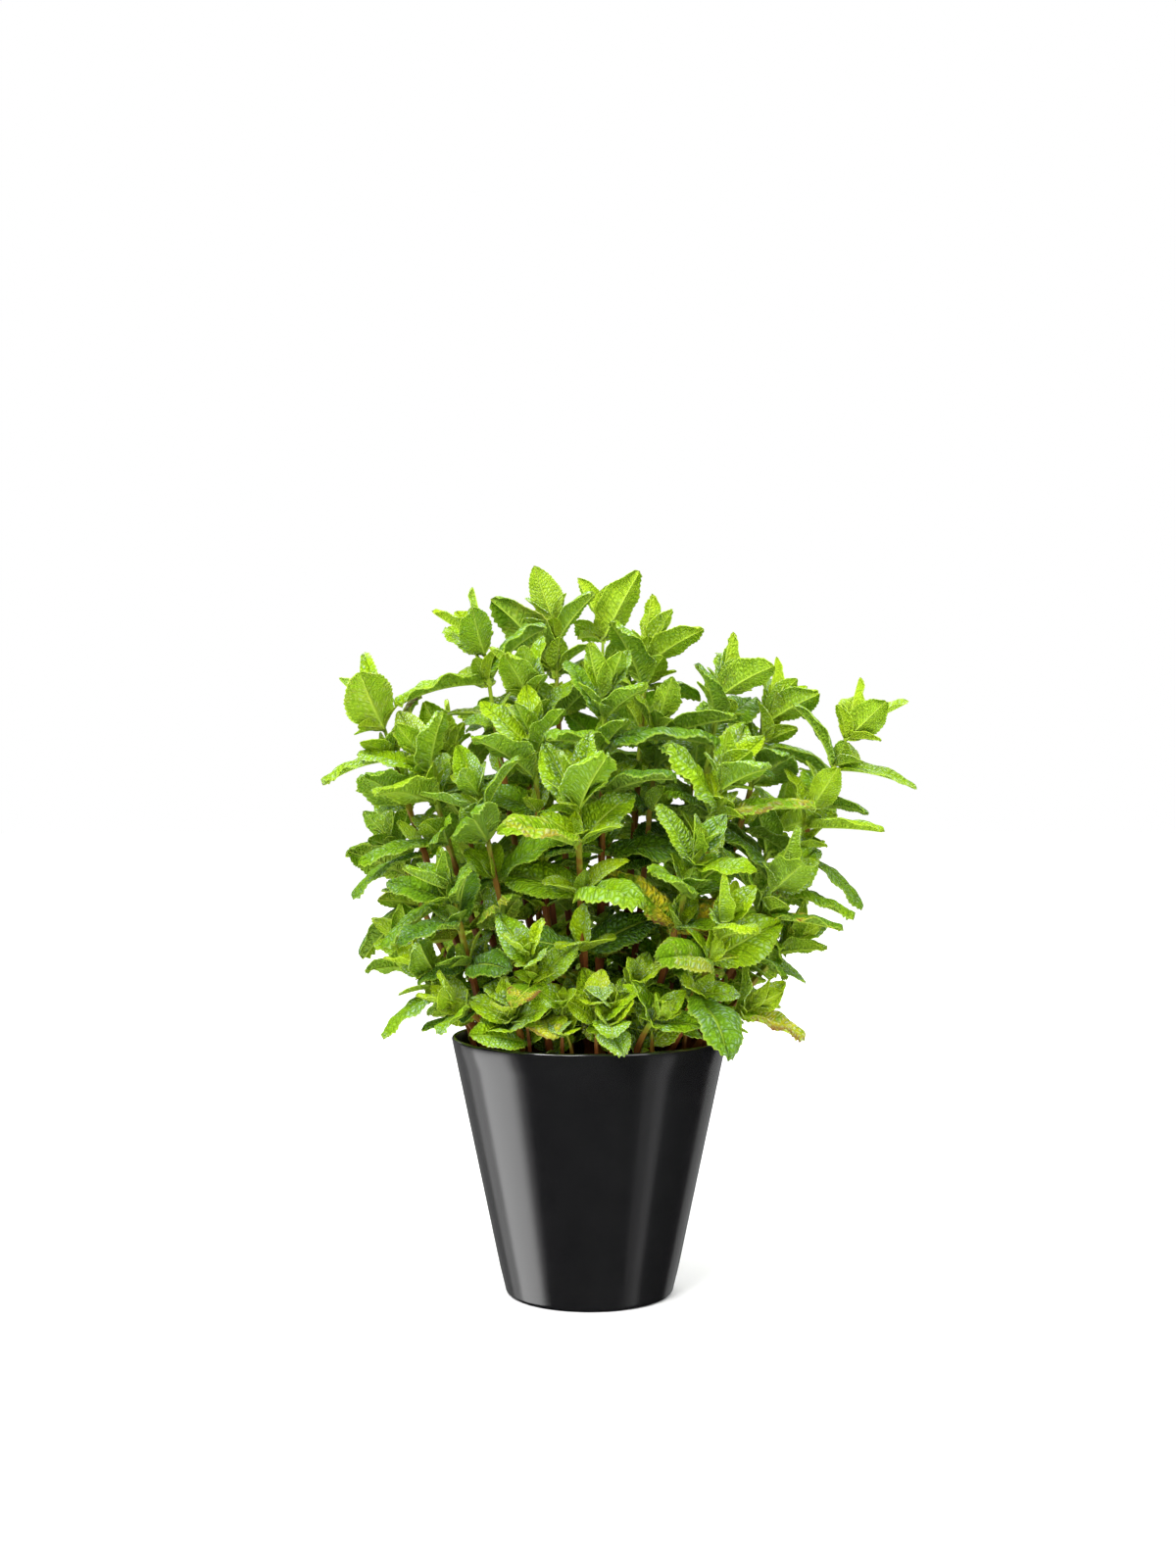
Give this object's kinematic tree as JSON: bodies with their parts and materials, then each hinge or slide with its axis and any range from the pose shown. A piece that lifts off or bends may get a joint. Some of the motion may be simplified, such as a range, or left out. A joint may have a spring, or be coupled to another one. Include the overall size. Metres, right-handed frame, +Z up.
{
  "type": "potted mint plant",
  "caption": "Leafy herb plant of upright square stems with toothed leaves in opposite pairs, rooted in soil in a tapered gloss pot with a flat base.",
  "frame": {"origin": "centre of the pot's flat base, on the surface that the pot stands on", "axes": "+Z up through the pot; the front of the plant, as it is usually seen, faces -Y; +X to its right"},
  "size_m": [0.2953, 0.2207, 0.3582],
  "materials": {
    "pot": "gloss",
    "soil": "matt, crumbly",
    "foliage": "satin, quilted between the veins"
  },
  "bodies": {
    "root": {"pot": "pot", "soil": "soil", "leafy_stem_01": "foliage", "leafy_stem_02": "foliage", "leafy_stem_03": "foliage", "leafy_stem_04": "foliage", "leafy_stem_05": "foliage", "leafy_stem_06": "foliage", "leafy_stem_07": "foliage", "leafy_stem_08": "foliage", "leafy_stem_09": "foliage", "leafy_stem_10": "foliage", "leafy_stem_11": "foliage", "leafy_stem_12": "foliage", "leafy_stem_13": "foliage", "leafy_stem_14": "foliage", "leafy_stem_15": "foliage", "leafy_stem_16": "foliage", "leafy_stem_17": "foliage", "leafy_stem_18": "foliage", "leafy_stem_19": "foliage", "leafy_stem_20": "foliage", "leafy_stem_21": "foliage", "leafy_stem_22": "foliage", "leafy_stem_23": "foliage", "leafy_stem_24": "foliage", "leafy_stem_25": "foliage", "leafy_stem_26": "foliage", "leafy_stem_27": "foliage", "leafy_stem_28": "foliage", "leafy_stem_29": "foliage", "leafy_stem_30": "foliage", "leafy_stem_31": "foliage", "leafy_stem_32": "foliage", "leafy_stem_33": "foliage", "leafy_stem_34": "foliage", "leafy_stem_35": "foliage", "leafy_stem_36": "foliage", "leafy_stem_37": "foliage", "leafy_stem_38": "foliage", "leafy_stem_39": "foliage", "leafy_stem_40": "foliage", "leafy_stem_41": "foliage", "leafy_stem_42": "foliage"}
  },
  "joints": []
}
